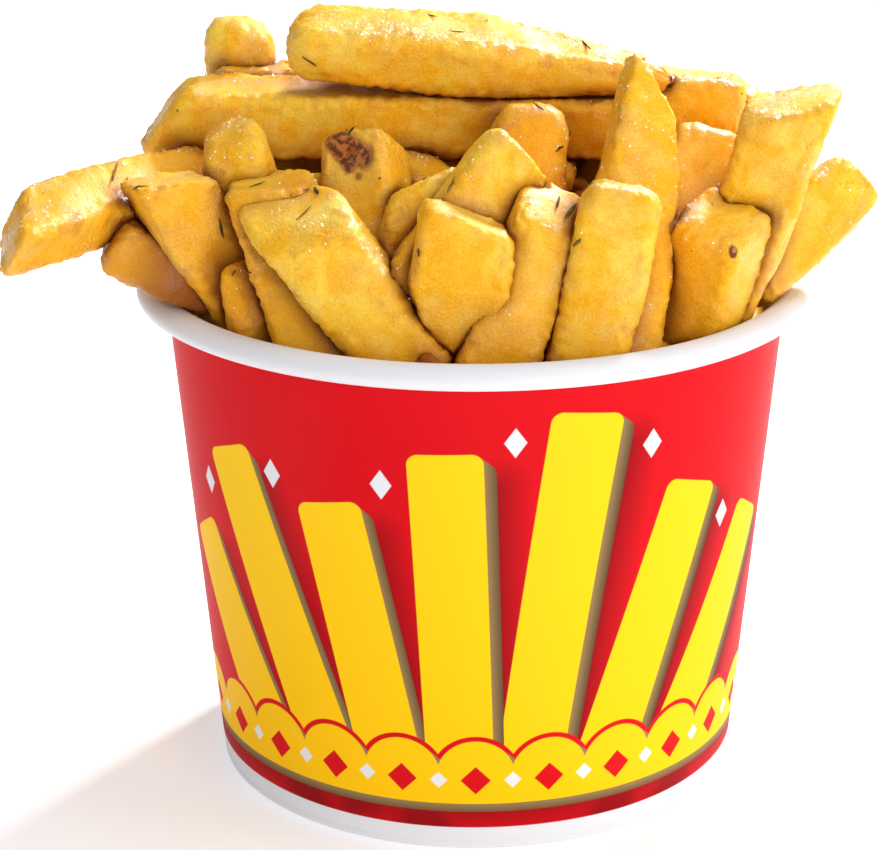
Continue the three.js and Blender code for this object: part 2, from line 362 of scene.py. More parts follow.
def scallop_distance_group():
    """How far a place lies outside a band that runs round the bucket with a scalloped top."""
    tree, given, result = new_tree(
        "scallop_distance",
        "ShaderNodeTree",
        {"Position": (0.0, 0.0, 0.0), "Width": 12.0, "Bottom": 8.0, "Shoulder": 13.0, "Radius": 6.8},
        {"Distance": 0.0},
    )
    parts = split(tree, given["Position"])
    along = calc(tree, "PINGPONG", parts[0], calc(tree, "MULTIPLY", given["Width"], 0.5))
    above = calc(tree, "SUBTRACT", parts[1], given["Shoulder"])
    squares = calc(tree, "MULTIPLY_ADD", along, along, calc(tree, "MULTIPLY", above, above))
    disc = calc(tree, "SUBTRACT", calc(tree, "SQRT", squares), given["Radius"])
    below = calc(tree, "SUBTRACT", given["Bottom"], parts[1])
    distance = calc(tree, "MAXIMUM", calc(tree, "MINIMUM", disc, above), below)
    tree.links.new(distance, result["Distance"])
    return tree


# The print is laid out in millimetres, round the board and up from its foot
edge_softness = 0.14
side_steps = 4
side_depth = (1.9, -1.5, 0.0)
print_height = 80


def inked(tree, distance, softness=edge_softness):
    """A mask of 1 inside a printed shape and 0 outside, with a soft edge."""
    return calc(tree, "MULTIPLY_ADD", distance, -1 / softness, 0.5, clamp=True)


def raised_group(name, shape, extra):
    """Prints one shape as if it stood off the board: brown sides, and a yellow face over them."""
    tree, given, result = new_tree(
        name,
        "ShaderNodeTree",
        {"Under": "NodeSocketColor", "Position": (0.0, 0.0, 0.0), "Depth": (1.0, -1.0, 0.0), **extra},
        {"Colour": "NodeSocketColor"},
    )

    def distance_at(share):
        """The distance from the shape where it has gone a share of the way down its sides."""
        inputs = {key: given[key] for key in extra}
        gone = scaled(tree, given["Depth"], -share)
        inputs["Position"] = vector_calc(tree, "ADD", given["Position"], gone)
        return add_node(tree, "ShaderNodeGroup", inputs, node_tree=shape).outputs[0]

    face = distance_at(0)
    sides = face
    for step in range(side_steps):
        sides = calc(tree, "MINIMUM", sides, distance_at((step + 1) / side_steps))
    fall = calc(tree, "MULTIPLY", face, 1 / Vector(side_depth).length, clamp=True)
    light_brown, dark_brown = srgb(150, 122, 78), srgb(74, 52, 36)
    brown = mix_colours(tree, fall, light_brown, dark_brown)
    sided = mix_colours(tree, inked(tree, sides), given["Under"], brown)
    parts = split(tree, given["Position"])
    height = calc(tree, "MULTIPLY", parts[1], 1 / print_height, clamp=True)
    deep_yellow, light_yellow = srgb(255, 196, 0), srgb(255, 206, 24)
    yellow = mix_colours(tree, height, deep_yellow, light_yellow)
    tree.links.new(mix_colours(tree, inked(tree, face), sided, yellow), result["Colour"])
    return tree


shadow_reach = 2.3
shadow_softness = 6.0
shadow_strength = 0.8
fan_origin = -60
# Each stick's lean in degrees, and how far its end is from the fan's origin
fan_sticks = ((-28, 122), (-19.5, 133), (-11, 123), (-2, 131), (7, 138), (17, 127), (27, 125))
stick_half = (5.7, 31.0, 100.0)
stick_corner = 1.8
fan_half = 62
fan_limit = 67.5
fan_share_behind = 0.62
fan_foot = 18
white_band = 4.1
scallops = 24
scallop_bottom = 8.6
scallop_shoulder = 13.6
keyline = 0.9
lozenge_height = 13.0
red_lozenge = (2.6, 2.6)
white_lozenge = (1.5, 1.5)
spark = (1.7, 2.5)
spark_below_ends = 5
round_print = 2 * math.pi * print_radius / MM
scallop_width = round_print / scallops


def fan_places(tree, place):
    """The print's places as seen by one large fan in front, and two smaller ones behind it."""
    parts = split(tree, place)
    from_front = calc(tree, "SUBTRACT", parts[0], round_print / 2)
    to_side = calc(tree, "ABSOLUTE", from_front)
    behind = calc(tree, "GREATER_THAN", to_side, fan_limit)
    middle_behind = (fan_half + round_print / 2) / 2
    grown = 1 / fan_share_behind
    small_along = calc(tree, "MULTIPLY", calc(tree, "SUBTRACT", to_side, middle_behind), grown)
    small_up = calc(tree, "MULTIPLY_ADD", parts[1], grown, fan_foot * (1 - grown))
    along = add_node(tree, "ShaderNodeMix", {0: behind, 2: from_front, 3: small_along}).outputs[0]
    up = add_node(tree, "ShaderNodeMix", {0: behind, 2: parts[1], 3: small_up}).outputs[0]
    return add_node(tree, "ShaderNodeCombineXYZ", {0: along, 1: up}).outputs[0]


def board_print_material():
    """White board with a glossy red print, and its raised yellow sticks, band and lozenges."""
    material, tree, shader = new_material("printed_board")
    stick = stick_distance_group()
    scallop = scallop_distance_group()
    stick_inputs = {
        "Centre": (0.0, 0.0, 0.0), "Turn": 0.0, "Half Size": stick_half, "Corner": stick_corner,
    }
    band_inputs = {
        "Width": scallop_width, "Bottom": scallop_bottom,
        "Shoulder": scallop_shoulder, "Radius": 0.53 * scallop_width,
    }
    raised_stick = raised_group("raised_stick", stick, stick_inputs)
    raised_band = raised_group("raised_band", scallop, band_inputs)

    uv = add_node(tree, "ShaderNodeUVMap", uv_map="print").outputs[0]
    height = split(tree, uv)[1]
    fan = fan_places(tree, uv)
    red = srgb(213, 9, 22)
    deep_red = srgb(120, 3, 10)
    white = srgb(228, 228, 231)

    sticks = []
    for turn, reach in fan_sticks:
        middle = reach - stick_half[1]
        turn = math.radians(turn)
        centre = (middle * math.sin(turn), fan_origin + middle * math.cos(turn), 0.0)
        sticks.append({**stick_inputs, "Centre": centre, "Turn": turn})
    cast = tuple(-shadow_reach * part for part in side_depth)
    shaded = vector_calc(tree, "ADD", fan, cast)
    band_shaded = {"Position": vector_calc(tree, "ADD", uv, cast), **band_inputs}
    nearest = add_node(tree, "ShaderNodeGroup", band_shaded, node_tree=scallop).outputs[0]
    for inputs in sticks:
        distance = add_node(tree, "ShaderNodeGroup", {"Position": shaded, **inputs}, node_tree=stick)
        nearest = calc(tree, "MINIMUM", nearest, distance.outputs[0])
    shadow = calc(tree, "MULTIPLY", inked(tree, nearest, shadow_softness), shadow_strength)
    ground = mix_colours(tree, shadow, red, deep_red)

    colour = ground
    order = sorted(range(len(sticks)), key=lambda index: -abs(index - len(sticks) // 2))
    for index in order:
        inputs = {"Under": colour, "Position": fan, "Depth": side_depth, **sticks[index]}
        colour = add_node(tree, "ShaderNodeGroup", inputs, node_tree=raised_stick).outputs[0]
    below_band = calc(tree, "SUBTRACT", height, scallop_shoulder)
    colour = mix_colours(tree, inked(tree, below_band), colour, ground)
    inputs = {"Position": uv, **band_inputs}
    band = add_node(tree, "ShaderNodeGroup", inputs, node_tree=scallop).outputs[0]
    colour = mix_colours(tree, inked(tree, calc(tree, "SUBTRACT", band, keyline)), colour, red)
    inputs = {"Under": colour, "Position": uv, "Depth": side_depth, **band_inputs}
    colour = add_node(tree, "ShaderNodeGroup", inputs, node_tree=raised_band).outputs[0]
    colour = lozenges(tree, colour, uv, fan, white, red)

    red_edge = calc(tree, "SUBTRACT", white_band, height)
    colour = mix_colours(tree, inked(tree, red_edge), white, colour)
    tree.links.new(colour, shader.inputs["Base Color"])

    place = add_node(tree, "ShaderNodeTexCoord").outputs["Object"]
    fibres = noise(tree, 900.0, 4.0, Vector=place)
    broad = noise(tree, 90.0, 2.0, Vector=place)
    rough = calc(tree, "MULTIPLY_ADD", broad, 0.08, 0.14)
    bare = calc(tree, "LESS_THAN", height, white_band)
    tree.links.new(calc(tree, "MULTIPLY_ADD", bare, 0.08, rough), shader.inputs["Roughness"])
    relief = calc(tree, "MULTIPLY_ADD", broad, 2.0, fibres)
    add_relief(tree, shader, relief, 0.25, 0.04 * MM)
    shader.inputs["Specular IOR Level"].default_value = 0.0
    shader.inputs["Coat Weight"].default_value = 0.16
    shader.inputs["Coat Roughness"].default_value = 0.12
    return material


def lozenges(tree, colour, uv, fan, white, red):
    """Adds a row of small lozenges on the band, and white ones between the sticks' ends."""
    def lozenge(position, centre, half):
        """A mask of one lozenge, with half its width and half its height given."""
        away = vector_calc(tree, "ABSOLUTE", vector_calc(tree, "SUBTRACT", position, (*centre, 0.0)))
        ratio = vector_calc(tree, "MULTIPLY", away, (1 / half[0], 1 / half[1], 0.0))
        parts = split(tree, ratio)
        over = calc(tree, "SUBTRACT", calc(tree, "ADD", parts[0], parts[1]), 1.0)
        return inked(tree, calc(tree, "MULTIPLY", over, min(half)))

    parts = split(tree, uv)
    for turned, ink, half in ((0.0, red, red_lozenge), (scallop_width / 2, white, white_lozenge)):
        along = calc(tree, "PINGPONG", calc(tree, "ADD", parts[0], turned), scallop_width / 2)
        place = add_node(tree, "ShaderNodeCombineXYZ", {0: along, 1: parts[1]}).outputs[0]
        colour = mix_colours(tree, lozenge(place, (0.0, lozenge_height), half), colour, ink)
    for before, after in zip(fan_sticks, fan_sticks[1:]):
        middle = math.radians((before[0] + after[0]) / 2)
        out = max(before[1], after[1]) - spark_below_ends
        centre = (out * math.sin(middle), fan_origin + out * math.cos(middle))
        colour = mix_colours(tree, lozenge(fan, centre, spark), colour, white)
    return colour


paper_wall = bpy.data.objects.new("paper_wall", make_bucket_wall())
bpy.context.scene.collection.objects.link(paper_wall)
paper_wall.data.materials.append(board_print_material())
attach(paper_wall, "root")
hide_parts("bucket_wall")


# ---------------------------------------------------------------------------------------------
# Base
# A disc of plain white board with a pressed ring, pushed in from below and held by the fold. Its
# edge turns down behind the fold, where the glue is.
# ---------------------------------------------------------------------------------------------

base_low, base_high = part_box("bucket_base")
base_radius = (base_high.x - base_low.x) / 2
base_columns = 128
base_profile_mm = (
    (0, 0.55), (24, 0.5), (36, 0.42), (37.2, 0.3), (38.6, 0.05), (40.4, 0.0), (43.2, 0.0),
    (44.3, 0.08), (44.9, 0.3), (44.95, 0.55), (44.6, 0.74), (43.2, 0.8), (39.0, 0.8), (37.6, 0.68),
    (36.4, 0.78), (0, 0.8),
)


def turned_mesh(name, profile, columns):
    """A closed solid turned round the bucket's axis; its profile starts and ends on that axis."""
    rings = profile[1:-1]
    points = [(bucket_axis.x, bucket_axis.y, height) for _, height in (profile[0], profile[-1])]
    faces = []
    for column in range(columns):
        turn = 2 * math.pi * column / columns
        here = 2 + column * len(rings)
        there = 2 + (column + 1) % columns * len(rings)
        for radius, height in rings:
            x = bucket_axis.x + radius * math.cos(turn)
            points.append((x, bucket_axis.y + radius * math.sin(turn), height))
        faces.append((0, there, here))
        faces.append((1, here + len(rings) - 1, there + len(rings) - 1))
        faces += [
            (here + row, there + row, there + row + 1, here + row + 1) for row in range(len(rings) - 1)
        ]
    mesh = bpy.data.meshes.new(name)
    mesh.from_pydata(points, [], faces)
    mesh.shade_smooth()
    return mesh


base_profile = [
    (min(radius * MM, base_radius), base_low.z + rise * MM) for radius, rise in base_profile_mm
]
base_mesh = turned_mesh("paper_base", base_profile, base_columns)
paper_base = bpy.data.objects.new("paper_base", base_mesh)
bpy.context.scene.collection.objects.link(paper_base)
paper_base.data.set_sharp_from_angle(angle=math.radians(60))

white_board, white_tree, white_shader = new_material("white_board")
white_place = add_node(white_tree, "ShaderNodeTexCoord").outputs["Object"]
pulp = noise(white_tree, 700.0, 5.0, Vector=white_place)
clouds = noise(white_tree, 60.0, 3.0, Vector=white_place)
shade = calc(white_tree, "MULTIPLY_ADD", pulp, 0.5, calc(white_tree, "MULTIPLY", clouds, 0.5))
board_white = mix_colours(white_tree, shade, srgb(228, 226, 221), srgb(246, 245, 242))
white_tree.links.new(board_white, white_shader.inputs["Base Color"])
white_shader.inputs["Roughness"].default_value = 0.62
add_relief(white_tree, white_shader, shade, 0.5, 0.06 * MM)
paper_base.data.materials.append(white_board)
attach(paper_base, "root")
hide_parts("bucket_base")


# ---------------------------------------------------------------------------------------------
# Packed fries
# What fills the bucket under the fries that show: a lumpy mass, with the ends of the fries packed
# upright in it. It is seen only down the gaps; the packed ends are browned by frying and painted
# dark brown besides, as painted shade.
# ---------------------------------------------------------------------------------------------

mass_gap = 2.8 * MM
mass_lift = 2.4 * MM
mass_shoulder = 79 * MM
mass_top = 93 * MM
mass_columns = 180
# Fries are placed in millimetres; each ring of packed ones has a radius and a number
heap_shoulder = 75
heap_top = 102
heap_radius = 51
packed_rings = ((0, 1), (11, 6), (21.5, 12), (32.5, 18), (42.5, 23))
outer_ring = 40
packed_foot = 70


def bake_nodes(piece, tree, values):
    """Runs a geometry tree on a piece with the inputs named, and keeps the result as its mesh."""
    modifier = piece.modifiers.new("shape", "NODES")
    modifier.node_group = tree
    for item in tree.interface.items_tree:
        if item.item_type == "SOCKET" and item.in_out == "INPUT" and item.name in values:
            modifier[item.identifier] = values[item.name]
    piece.update_tag()
    bpy.context.view_layer.update()
    result = bpy.data.meshes.new_from_object(piece.evaluated_get(bpy.context.evaluated_depsgraph_get()))
    piece.modifiers.remove(modifier)
    piece.data = result


def stored(tree, name):
    """In a geometry tree, the number that each point of a mesh has stored under a name."""
    kind = "GeometryNodeInputNamedAttribute"
    return add_node(tree, kind, {"Name": name}, data_type="FLOAT").outputs[0]


def fried_crust_tree():
    """Puffs and dents the faces of fries, and makes their edges and ends craggy."""
    tree, given, result = new_tree(
        "fried_crust",
        "GeometryNodeTree",
        {"Fries": "NodeSocketGeometry", "Potato": "NodeSocketMaterial",
         "Puff Height": 0.0011, "Puff Size": 0.008, "Edge Height": 0.0014, "Edge Size": 0.0015,
         "Skin Height": 0.0002, "Skin Size": 0.0014},
        {"Crusted": "NodeSocketGeometry"},
    )

    def bumps(kind, detail):
        """Noise of one kind's size and height, as a distance either way."""
        lumps = noise(tree, calc(tree, "DIVIDE", 1.0, given[kind + " Size"]), detail)
        return calc(tree, "MULTIPLY", calc(tree, "SUBTRACT", lumps, 0.5), given[kind + " Height"])

    height = calc(tree, "MULTIPLY_ADD", bumps("Edge", 2.0), stored(tree, "edge"), bumps("Skin", 3.0))
    height = calc(tree, "ADD", height, bumps("Puff", 1.0))
    normal = add_node(tree, "GeometryNodeInputNormal").outputs[0]
    inputs = {"Geometry": given["Fries"], "Offset": scaled(tree, normal, height)}
    moved = add_node(tree, "GeometryNodeSetPosition", inputs).outputs[0]
    inputs = {"Geometry": moved, "Material": given["Potato"]}
    tree.links.new(add_node(tree, "GeometryNodeSetMaterial", inputs).outputs[0], result["Crusted"])
    return tree


def fried_potato_material():
    """Fried potato: golden and paler mottling, browner edges, pinholes and a thin coat of oil, with
    painted shade in creases, in gaps, at the feet and where fries meet.
    """
    material, tree, shader = new_material("fried_potato")
    place = add_node(tree, "ShaderNodeTexCoord").outputs["Object"]
    golden, pale, ripe_gold = srgb(248, 182, 2), srgb(254, 214, 72), srgb(240, 158, 6)
    freckle, fleck, toast = srgb(224, 146, 10), srgb(255, 218, 84), srgb(214, 128, 14)
    # The next three browns are painted shade: in creases, deep in gaps and at the feet, and on the lines
    # where fries meet
    crease_shade_brown, deep_shade_brown, contact_shade_brown = srgb(140, 64, 8), srgb(138, 66, 16), srgb(110, 42, 10)
    hole_brown, skin_dark, skin_light = srgb(98, 50, 20), srgb(106, 48, 14), srgb(196, 118, 52)

    def lumps(size, detail, distortion=0.0):
        """Noise with lumps of a size in metres."""
        return noise(tree, 1 / size, detail, Vector=place, Distortion=distortion)

    def spread(value, low, high):
        """A value stretched so that low becomes 0 and high becomes 1."""
        inputs = {0: value, 1: low, 2: high}
        return add_node(tree, "ShaderNodeMapRange", inputs, interpolation_type="SMOOTHSTEP").outputs[0]

    def mark(name):
        """A number that the mesh has stored for each of its points."""
        return add_node(tree, "ShaderNodeAttribute", attribute_name=name).outputs["Fac"]

    broad = lumps(0.0085, 2.0, 1.2)
    cloudy = lumps(0.0035, 3.0)
    small = lumps(0.0011, 3.0)
    grain = lumps(0.00035, 2.0)
    mottled = calc(tree, "MULTIPLY_ADD", cloudy, 0.7, calc(tree, "MULTIPLY_ADD", small, 0.35, broad))
    pale_share = spread(mottled, 0.85, 1.2)
    # The brown share holds real browning and also painted shade at the feet, on the packed ends and low
    # in gaps; it thins the pale patches
    not_brown = calc(tree, "SUBTRACT", 1.0, mark("brown"))
    pale_share = calc(tree, "MULTIPLY", pale_share, not_brown, clamp=True)
    colour = mix_colours(tree, pale_share, golden, pale)
    ripe = spread(calc(tree, "MULTIPLY_ADD", small, 0.4, lumps(0.013, 2.0)), 0.62, 0.95)
    colour = mix_colours(tree, calc(tree, "MULTIPLY", ripe, 0.5), colour, ripe_gold)
    freckled = calc(tree, "MULTIPLY", spread(grain, 0.5, 0.7), 0.4)
    colour = mix_colours(tree, freckled, colour, freckle)
    flecked = calc(tree, "MULTIPLY", spread(grain, 0.5, 0.3), 0.4)
    colour = mix_colours(tree, flecked, colour, fleck)

    # Toast goes on edges and wherever the brown share is high, so it adds to the painted shade at the
    # feet and in gaps
    toasted = calc(tree, "MULTIPLY_ADD", mark("edge"), spread(cloudy, 0.45, 0.75), mark("brown"))
    toasted = calc(tree, "MULTIPLY", toasted, calc(tree, "MULTIPLY_ADD", small, 0.9, 0.3), clamp=True)
    colour = mix_colours(tree, calc(tree, "MULTIPLY", toasted, 0.65), colour, toast)

    # Painted shade: creases that face another fry close by are darkened towards brown
    crease_shade = calc(tree, "MULTIPLY", calc(tree, "POWER", mark("crease"), 1.6), 0.85)
    colour = mix_colours(tree, crease_shade, colour, crease_shade_brown)
    # Painted shade: where the brown share is high, as on the packed ends, low fries in gaps and the feet
    # of fries, the colour turns dark brown
    deep_shade = spread(mark("brown"), 0.62, 0.95)
    colour = mix_colours(tree, calc(tree, "MULTIPLY", deep_shade, 0.85), colour, deep_shade_brown)
    # Painted shadow: a thin dark brown line where one fry meets another
    seam = spread(calc(tree, "MULTIPLY_ADD", small, 0.06, mark("touch")), 0.99, 1.04)
    colour = mix_colours(tree, calc(tree, "MULTIPLY", seam, 0.75), colour, contact_shade_brown)

    between_holes = 0.0055
    cells = add_node(tree, "ShaderNodeTexVoronoi", {"Vector": place, "Scale": 1 / between_holes})
    some = add_node(tree, "ShaderNodeSeparateColor", {0: cells.outputs["Color"]}).outputs
    width = calc(tree, "MULTIPLY_ADD", some[1], 0.035, 0.02)
    near = calc(tree, "LESS_THAN", cells.outputs["Distance"], width)
    hole = calc(tree, "MULTIPLY", near, calc(tree, "GREATER_THAN", some[0], 0.72))
    colour = mix_colours(tree, calc(tree, "MULTIPLY", hole, 0.85), colour, hole_brown)

    burnt = spread(calc(tree, "MULTIPLY_ADD", small, 0.5, mark("burnt")), 0.6, 0.95)
    scorch = mix_colours(tree, spread(small, 0.4, 0.62), skin_dark, skin_light)
    colour = mix_colours(tree, burnt, colour, scorch)
    tree.links.new(colour, shader.inputs["Base Color"])

    oily = spread(lumps(0.007, 2.0), 0.42, 0.62)
    tree.links.new(calc(tree, "MULTIPLY_ADD", oily, -0.15, 0.5), shader.inputs["Roughness"])
    craggy = calc(tree, "MULTIPLY_ADD", mark("edge"), 0.9, 0.3)
    relief = calc(tree, "MULTIPLY_ADD", lumps(0.0005, 2.0), craggy, grain)
    add_relief(tree, shader, relief, 1.0, 0.1 * MM)
    oil_beads = lumps(0.0006, 2.0, 0.4)
    add_relief(tree, shader, oil_beads, 1.0, 0.9 * MM, "Coat Normal")
    tree.links.new(calc(tree, "MULTIPLY_ADD", oily, 0.8, 0.2), shader.inputs["Coat Weight"])
    shader.inputs["Coat Roughness"].default_value = 0.12
    shader.inputs["Subsurface Weight"].default_value = 0.16
    shader.inputs["Subsurface Radius"].default_value = (1.0, 0.7, 0.3)
    shader.inputs["Subsurface Scale"].default_value = 0.0012
    shader.inputs["Specular IOR Level"].default_value = 0.15
    return material


# A fry turns about its length, narrows to a share of its width at foot and tip, is rounded off
# over its nose, bows up in the middle and may be cut aslant at the tip. Its long corners have a
# radius, its faces puff out, and it is brown by a share. Towards its foot the brown share grows,
# as painted shade.
shaded_foot_length = 22
edge_reach = 1.1
most_twist = math.radians(2.5)
swelling = 0.02
usual_fry = {
    "turn": 0, "foot_size": 0.95, "tip_size": 0.95, "nose": 2.5, "bow": 0, "cut": (0, 0), "corner": 1.9,
    "brown": 0.08, "puff": 0.4,
}


def fry(foot, tip, wide, thick, **unusual):
    """A fry's shape from foot to tip, in millimetres from the bucket's axis, and how brown it is."""
    return {**usual_fry, "foot": foot, "tip": tip, "wide": wide, "thick": thick, **unusual}


def uneven(index, trait):
    """A repeatable unevenness from -1 to 1 for one trait of one fry."""
    wave = 43758.5453 * math.sin(12.9898 * index + 78.233 * trait)
    return 2 * (wave - math.floor(wave)) - 1


def section_outline(half_wide, half_thick, corner, spacing):
    """Points round a section with round corners: place, way out, edge share, face and bulge share."""
    rows = []
    corner_turns = 6
    for quarter in range(4):
        start = quarter * math.pi / 2
        side_x = half_wide - corner if quarter in (0, 3) else corner - half_wide
        side_z = half_thick - corner if quarter in (0, 1) else corner - half_thick
        for step in range(corner_turns):
            turn = start + math.pi / 2 * step / (corner_turns - 1)
            out = (math.cos(turn), math.sin(turn))
            rows.append((side_x + corner * out[0], side_z + corner * out[1], *out, 1, quarter, 0))
        length = 2 * (half_wide - corner if quarter % 2 == 0 else half_thick - corner)
        steps = max(3, round(length / spacing))
        out = (round(math.cos(start + math.pi / 2)), round(math.sin(start + math.pi / 2)))
        along = (-out[1], out[0])
        end_x, end_z = rows[-1][0], rows[-1][1]
        for step in range(1, steps):
            share = step / steps
            near = math.exp(-min(share, 1 - share) * length / edge_reach)
            bulge = 1 - (2 * share - 1) ** 2
            x = end_x + along[0] * length * share
            z = end_z + along[1] * length * share
            rows.append((x, z, *out, near, quarter, bulge))
    return np.array(rows).T


def fry_directions(shape):
    """A fry's foot, its length, and its directions along, across and through."""
    foot = np.array(shape["foot"], float)
    axis = np.array(shape["tip"], float) - foot
    length = np.linalg.norm(axis)
    along = axis / length
    across = np.cross(along, (0, -1, 0))
    across /= np.linalg.norm(across)
    roll = math.radians(shape["turn"])
    across = across * math.cos(roll) + np.cross(along, across) * math.sin(roll)
    return foot, length, along, across, np.cross(across, along)


def fry_shell(shape, spacing, seed):
    """One fry as a closed shell: its points, quads, end fans, and its surface marks."""
    draw = np.random.default_rng(seed)
    foot, length, along, across, through = fry_directions(shape)
    half_wide = shape["wide"] / 2
    half_thick = shape["thick"] / 2
    nose = shape["nose"]

    # Rows run from the middle of the foot's face to the middle of the tip's
    cap = np.linspace(0, 1, round(min(half_wide, half_thick) / spacing))[1:]
    bend = np.linspace(0, 1, 8)[1:]
    body = np.linspace(nose, length - nose, max(6, round((length - 2 * nose) / spacing)))[1:-1]
    flat = 0.6 * nose
    rounded = flat * (1 - np.sqrt(1 - (1 - bend) ** 2))
    place = np.concatenate([cap * 0, bend * nose, body, length - bend[::-1] * nose, length + cap * 0])
    shrink = np.concatenate([cap, bend * 0 + 1, body * 0 + 1, bend * 0 + 1, cap[::-1]])
    inset = np.concatenate([cap * 0 + flat, rounded, body * 0, rounded[::-1], cap * 0 + flat])
    reach = place / length
    end_size = np.where(reach >= 0.5, shape["tip_size"], shape["foot_size"])
    size = 1 + (end_size - 1) * np.abs(2 * reach - 1)

    def swing(slowest):
        """A slow unevenness along the fry, from about -1 to 1."""
        waves = draw.uniform(0, 2 * math.pi, 3)
        return sum(np.sin(place / slowest * (1 + k) + wave) / (1.5 + k) for k, wave in enumerate(waves))

    outline = section_outline(half_wide, half_thick, shape["corner"], spacing)
    x, z, out_x, out_z, edge, face, bulge = outline
    puffs = np.array([swing(7) for _ in range(4)])
    raised = (shape["puff"] * (0.6 + 0.9 * puffs[face.astype(int)].T)) * bulge
    twist = most_twist * swing(16)
    scale_x = (size - inset / half_wide) * (1 + swelling * swing(6))
    scale_z = (size - inset / half_thick) * (1 + swelling * swing(6))
    side = (x * scale_x[:, None] + out_x * raised) * shrink[:, None]
    rise = (z * scale_z[:, None] + out_z * raised) * shrink[:, None]
    side_turned = side * np.cos(twist)[:, None] - rise * np.sin(twist)[:, None]
    rise_turned = side * np.sin(twist)[:, None] + rise * np.cos(twist)[:, None]
    cut_wide, cut_thick = shape["cut"]
    slant = np.maximum(0, 2 * reach - 1)[:, None] * (
        cut_wide * side_turned / half_wide + cut_thick * rise_turned / half_thick
    )
    points = (
        foot + along * place[:, None, None]
        + across * side_turned[..., None] + through * rise_turned[..., None] + along * slant[..., None]
    )
    points[..., 2] += (shape["bow"] * 4 * reach * (1 - reach))[:, None]

    # Edges are the long corners and the rims of both ends
    from_end = np.minimum(place, length - place)
    rim = np.exp(-((from_end - 0.3 * nose) / (0.45 * nose)) ** 2) * np.clip((shrink - 0.7) / 0.3, 0, 1)
    edges = np.clip(edge * shrink[:, None] ** 3 + rim[:, None], 0, 1)
    # Painted shade: the brown share grows over the lowest part of the fry, darkest at its foot
    foot_shade = 0.5 * np.clip(1 - place / shaded_foot_length, 0, 1)
    browns_and_foot_shade = np.clip(shape["brown"] + foot_shade[:, None] + 0 * edges, 0, 1)

    sides = len(x)
    rings = len(place)
    ends = [points[0].mean(0), points[-1].mean(0)]
    shell = np.concatenate([points.reshape(-1, 3), ends])
    marks = np.stack([edges.ravel(), browns_and_foot_shade.ravel()], -1)
    marks = np.concatenate([marks, [[0, shape["brown"]], [0, shape["brown"]]]])
    ring, column = np.meshgrid(np.arange(rings - 1), np.arange(sides), indexing="ij")
    after = (column + 1) % sides
    low, high = ring * sides, (ring + 1) * sides
    quads = np.stack([low + column, high + column, high + after, low + after], -1).reshape(-1, 4)
    column = np.arange(sides)
    after = (column + 1) % sides
    last = (rings - 1) * sides
    foot_fan = np.stack([column * 0 + rings * sides, column, after], -1)
    tip_fan = np.stack([column * 0 + rings * sides + 1, last + after, last + column], -1)
    return shell, quads, np.concatenate([foot_fan, tip_fan]), marks


lying_fries = []


def store_mark(mesh, name, values):
    """Stores a number for each point of a mesh under a name."""
    values = np.asarray(values, np.float32)
    mesh.attributes.new(name, "FLOAT", "POINT").data.foreach_set("value", values)


def fries_mesh(name, shapes, spacing, seed):
    """Several fries as one mesh, with their edges, and their browning with painted shade at the feet, as
    attributes.
    """
    points, corners, sizes, marks = [], [], [], []
    count = 0
    for index, shape in enumerate(shapes):
        shell, quads, fans, shell_marks = fry_shell(shape, spacing, seed + index)
        lying_fries.append((name, slice(count, count + len(shell)), shape))
        points.append(shell)
        corners += [(quads + count).ravel(), (fans + count).ravel()]
        sizes += [np.full(len(quads), 4), np.full(len(fans), 3)]
        marks.append(shell_marks)
        count += len(shell)
    points = np.concatenate(points) * MM + np.array(bucket_axis)
    corners = np.concatenate(corners)
    sizes = np.concatenate(sizes)
    marks = np.concatenate(marks)
    mesh = bpy.data.meshes.new(name)
    mesh.vertices.add(len(points))
    mesh.vertices.foreach_set("co", points.astype(np.float32).ravel())
    mesh.loops.add(len(corners))
    mesh.loops.foreach_set("vertex_index", corners.astype(np.int32))
    mesh.polygons.add(len(sizes))
    starts = np.concatenate([[0], np.cumsum(sizes)[:-1]])
    mesh.polygons.foreach_set("loop_start", starts.astype(np.int32))
    mesh.update(calc_edges=True)
    store_mark(mesh, "edge", marks[:, 0])
    store_mark(mesh, "brown", marks[:, 1])
    mesh.shade_smooth()
    return mesh


fried_crust = fried_crust_tree()
fried_potato = fried_potato_material()


def add_potato(name, mesh, values=None):
    """A finished piece of fried potato, from a plain mesh and any values of the crust tree's own."""
    piece = bpy.data.objects.new(name, mesh)
    bpy.context.scene.collection.objects.link(piece)
    bake_nodes(piece, fried_crust, {"Potato": fried_potato, **(values or {})})
    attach(piece, "root")
    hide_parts("fries")


def add_fries(name, shapes, spacing, seed):
    """A finished piece made of several fries."""
    add_potato(name, fries_mesh(name, shapes, spacing, seed))


def mass_profile():
    """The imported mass's section, inside the wall and up to a low dome."""
    floor = base_high.z + mass_lift
    low_radius = wall_radius(floor) - board - mass_gap
    high_radius = wall_radius(mass_shoulder) - board - mass_gap
    points = [(0, floor)]
    points += [(low_radius * share, floor) for share in np.linspace(0.1, 0.98, 12)]
    points += [
        (low_radius + (high_radius - low_radius) * share, floor + (mass_shoulder - floor) * share)
        for share in np.linspace(0.01, 1, 30)
    ]
    points += [
        (high_radius * share, mass_shoulder + (mass_top - mass_shoulder) * (1 - share * share))
        for share in np.linspace(0.98, 0.02, 34)
    ]
    points.append((0, mass_top))
    return points


mass_values = {"Puff Height": 0.006, "Puff Size": 0.011, "Skin Height": 0.0012, "Skin Size": 0.003}
add_potato("packed_mass", turned_mesh("packed_mass", mass_profile(), mass_columns), mass_values)

